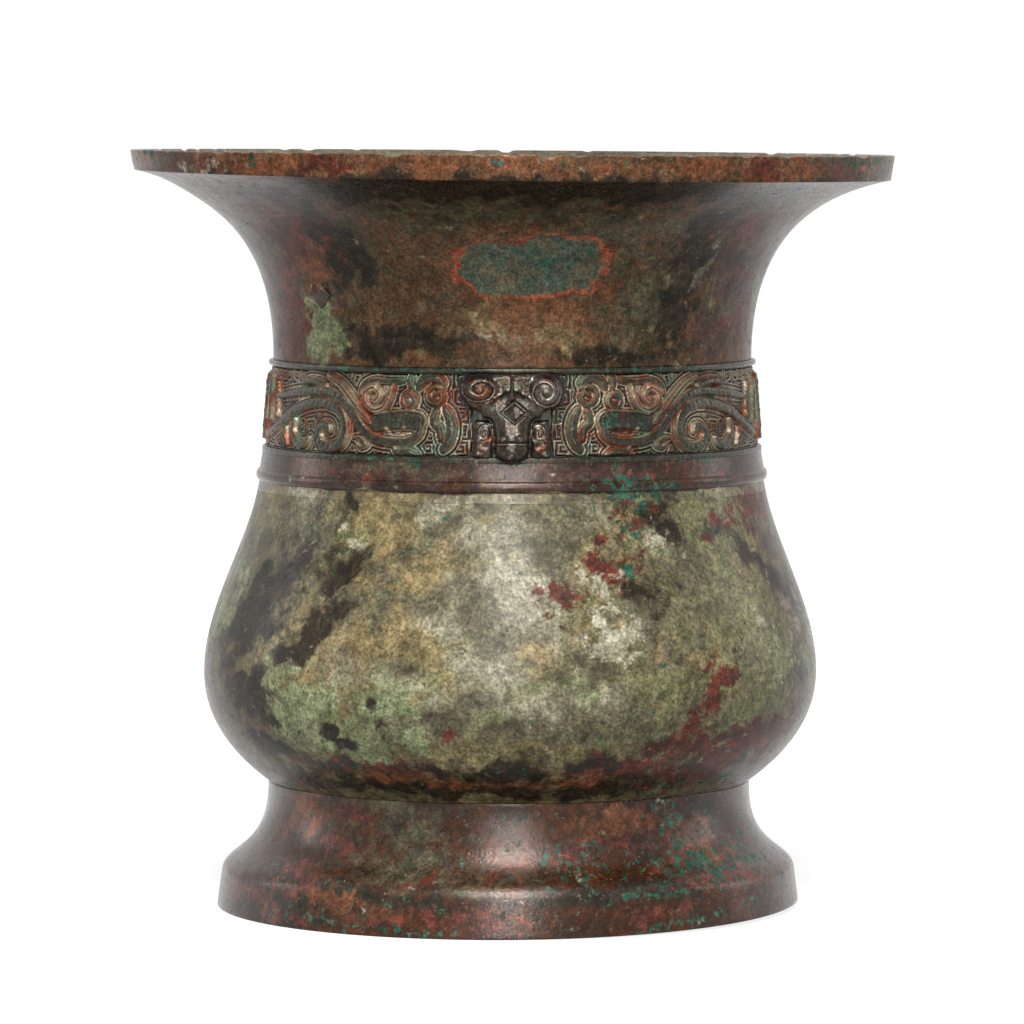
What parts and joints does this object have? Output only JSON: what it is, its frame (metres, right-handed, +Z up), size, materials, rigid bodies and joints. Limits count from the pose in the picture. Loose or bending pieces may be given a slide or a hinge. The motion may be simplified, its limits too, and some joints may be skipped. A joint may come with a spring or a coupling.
{
  "type": "bronze zun wine vessel",
  "caption": "Cast bronze zun wine vessel: trumpet mouth, bulging belly and splayed foot ring, with a band of dragons and animal masks round the neck.",
  "frame": {"origin": "centre of the foot ring's base, on the surface that the vessel stands on", "axes": "+Z up the vessel's axis to the mouth, -Y out through the front mask, +X to the right of someone facing that mask"},
  "size_m": [0.205, 0.205, 0.203],
  "materials": {
    "foot_ring": "satin brown bronze with red and green patina",
    "belly": "satin grey-green patina with brown and red patches",
    "floor_spacers": "satin dark brown bronze",
    "bow_string_band": "satin red-brown bronze",
    "frieze_band": "satin dark bronze",
    "dragon_panels": "satin dark bronze with red in the grooves",
    "masks": "polished dark bronze",
    "trumpet_neck": "satin brown bronze with green and red patina",
    "neck_spacer": "satin dark brown bronze"
  },
  "bodies": {
    "root": {"foot_ring": "foot_ring", "belly": "belly", "floor_spacers": "floor_spacers", "bow_string_band": "bow_string_band", "frieze_band": "frieze_band", "dragon_panel_front_right": "dragon_panels", "dragon_panel_front_left": "dragon_panels", "dragon_panel_back_left": "dragon_panels", "dragon_panel_back_right": "dragon_panels", "mask_front": "masks", "mask_back": "masks", "trumpet_neck": "trumpet_neck", "neck_spacer": "neck_spacer"}
  },
  "joints": []
}
